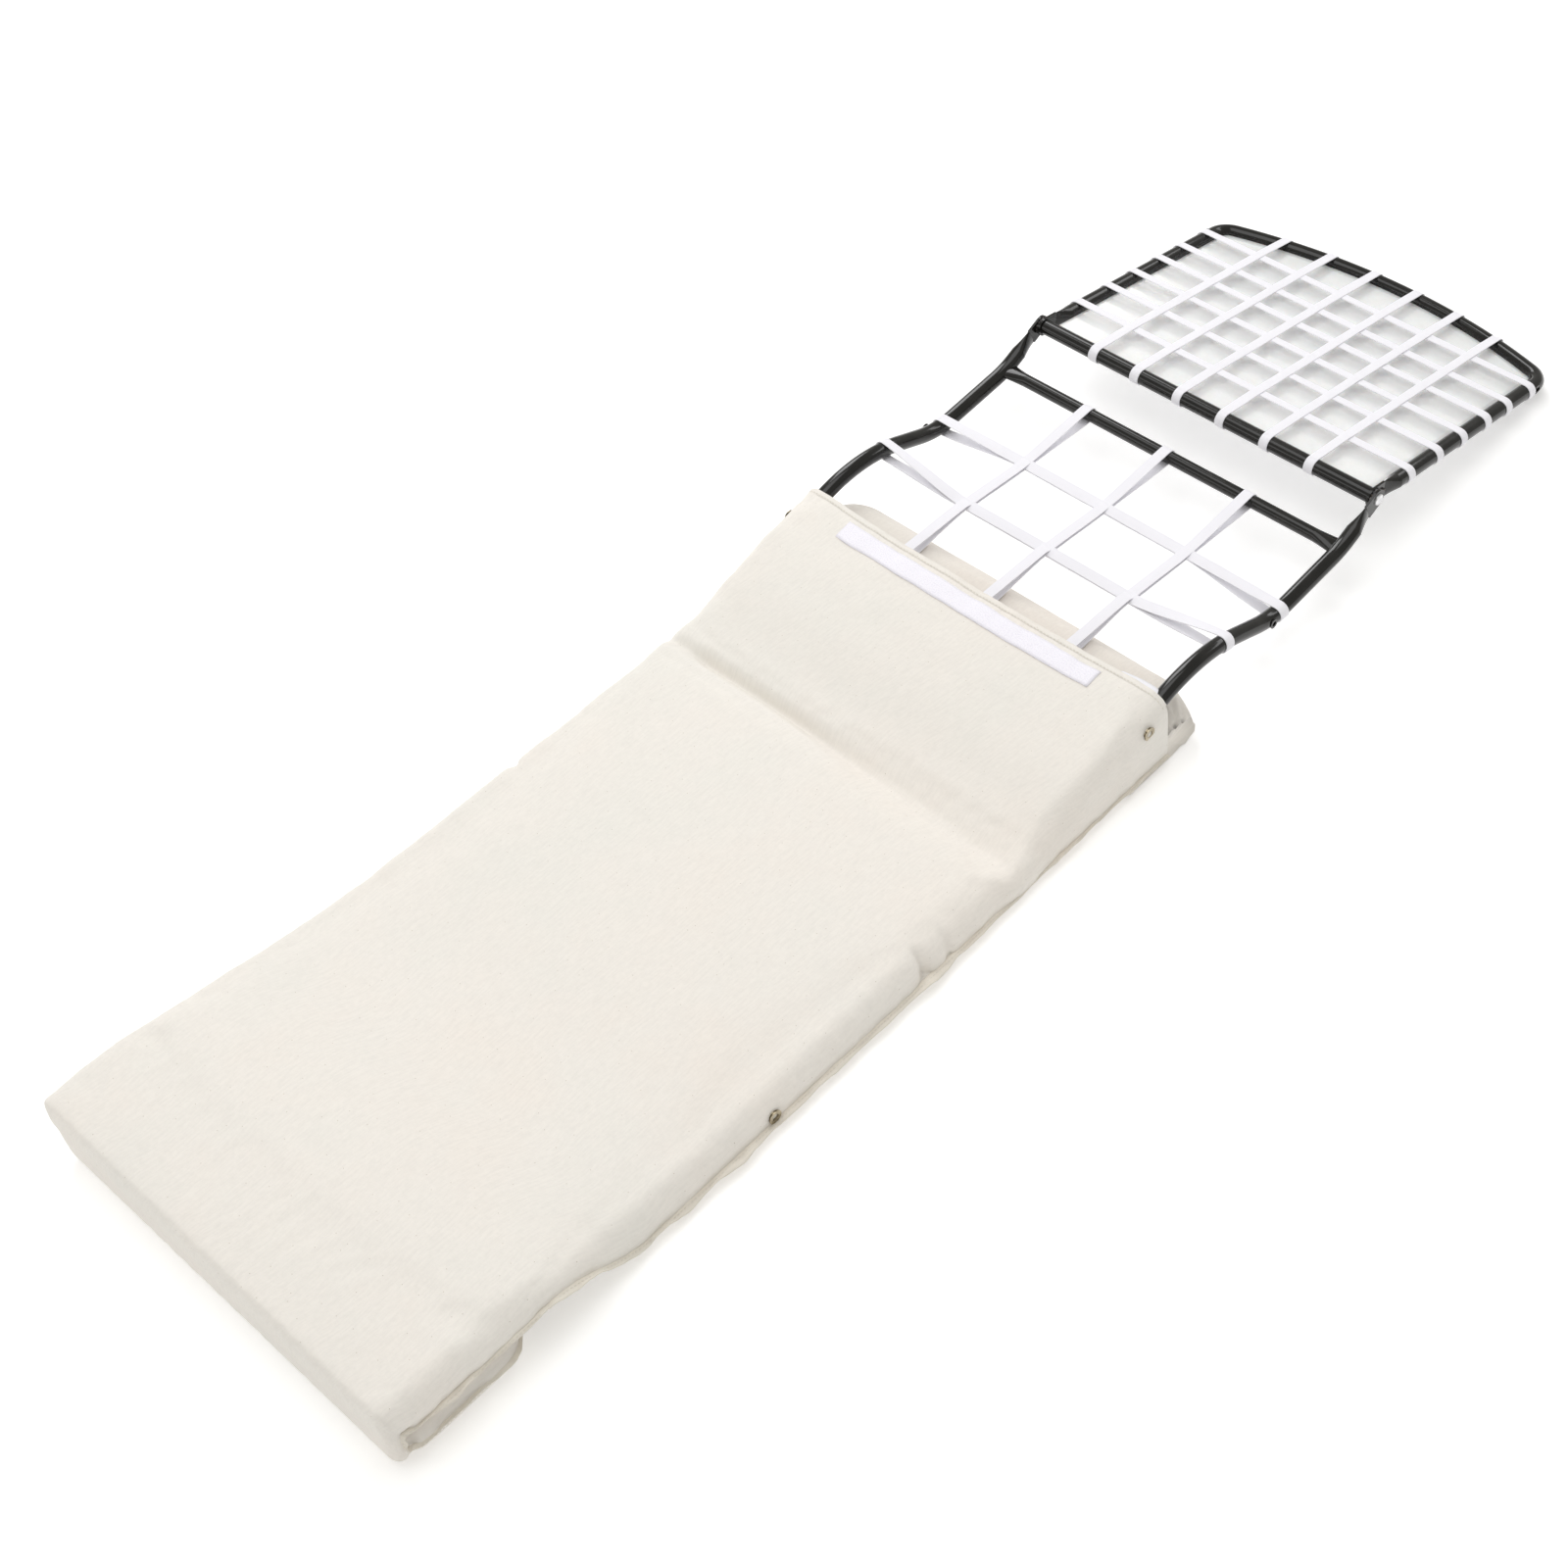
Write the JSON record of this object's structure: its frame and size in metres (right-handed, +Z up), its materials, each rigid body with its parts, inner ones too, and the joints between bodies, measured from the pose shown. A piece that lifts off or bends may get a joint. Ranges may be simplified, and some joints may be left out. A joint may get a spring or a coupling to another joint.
{
  "type": "folding floor lounger",
  "caption": "Legless folding floor lounger lying flat: canvas-covered padded seat and back, and an uncovered black tube back and head frame with white elastic straps.",
  "frame": {"origin": "on the floor, in the middle of the outer box", "axes": "+X across the lounger, +Y from the foot end to the head end, +Z up"},
  "size_m": [0.5338, 1.8982, 0.1029],
  "materials": {
    "canvas": "unbleached cotton canvas with fine dark flecks",
    "foam": "polyurethane foam and wadding inside the cover",
    "elastic": "woven white elastic tape",
    "liner": "thin off-white non-woven cloth",
    "strip": "white hook tape",
    "nickel": "nickel-plated brass",
    "brass_insert": "machined brass",
    "rivet_steel": "bright zinc-plated steel",
    "hinge_steel": "blackened steel",
    "black_tube": "gloss black stoved enamel on steel tube"
  },
  "bodies": {
    "seat": {"back_pawl_left": "hinge_steel", "back_pawl_right": "hinge_steel", "seat_base_pad": "foam", "seat_cover": "canvas", "seat_crossbar": "black_tube", "seat_eyelet_left": "nickel", "seat_eyelet_right": "nickel", "seat_foam": "foam", "seat_frame": "black_tube", "seat_insert_left": "brass_insert", "seat_insert_right": "brass_insert", "seat_straps_crosswise": "elastic", "seat_straps_lengthwise": "elastic"},
    "foot_fold": {"foot_cover": "canvas", "foot_foam": "foam"},
    "back": {"back_base_pad": "foam", "back_cover": "canvas", "back_crossbar": "black_tube", "back_eyelet_left": "nickel", "back_eyelet_right": "nickel", "back_foam": "foam", "back_insert_left": "brass_insert", "back_insert_right": "brass_insert", "back_lower_crossbar": "black_tube", "back_pivot_left": "rivet_steel", "back_pivot_right": "rivet_steel", "back_rail_left": "black_tube", "back_rail_right": "black_tube", "back_ratchet_left": "hinge_steel", "back_ratchet_right": "hinge_steel", "back_straps_crosswise": "elastic", "back_straps_lengthwise": "elastic", "head_pivot_left": "rivet_steel", "head_pivot_right": "rivet_steel", "head_ratchet_left": "hinge_steel", "head_ratchet_right": "hinge_steel", "hook_strip": "strip", "rail_insert_left": "brass_insert", "rail_insert_right": "brass_insert"},
    "head": {"head_crossbar": "black_tube", "head_hoop": "black_tube", "head_insert_left": "brass_insert", "head_insert_right": "brass_insert", "head_liner": "liner", "head_pawl_left": "hinge_steel", "head_pawl_right": "hinge_steel", "head_straps_crosswise": "elastic", "head_straps_lengthwise": "elastic"}
  },
  "joints": [
    {"name": "foot_fold_hinge", "type": "hinge", "parent": "seat", "child": "foot_fold", "pos_m": [0, -0.94946, 0.04125], "axis": [1, 0, 0], "range_deg": [-180, 0]},
    {"name": "back_hinge", "type": "hinge", "parent": "seat", "child": "back", "pos_m": [0, -0.09946, 0.021], "axis": [1, 0, 0], "range_deg": [0, 95]},
    {"name": "head_hinge", "type": "hinge", "parent": "back", "child": "head", "pos_m": [0, 0.53654, 0.089], "axis": [1, 0, 0], "range_deg": [0, 60]}
  ]
}
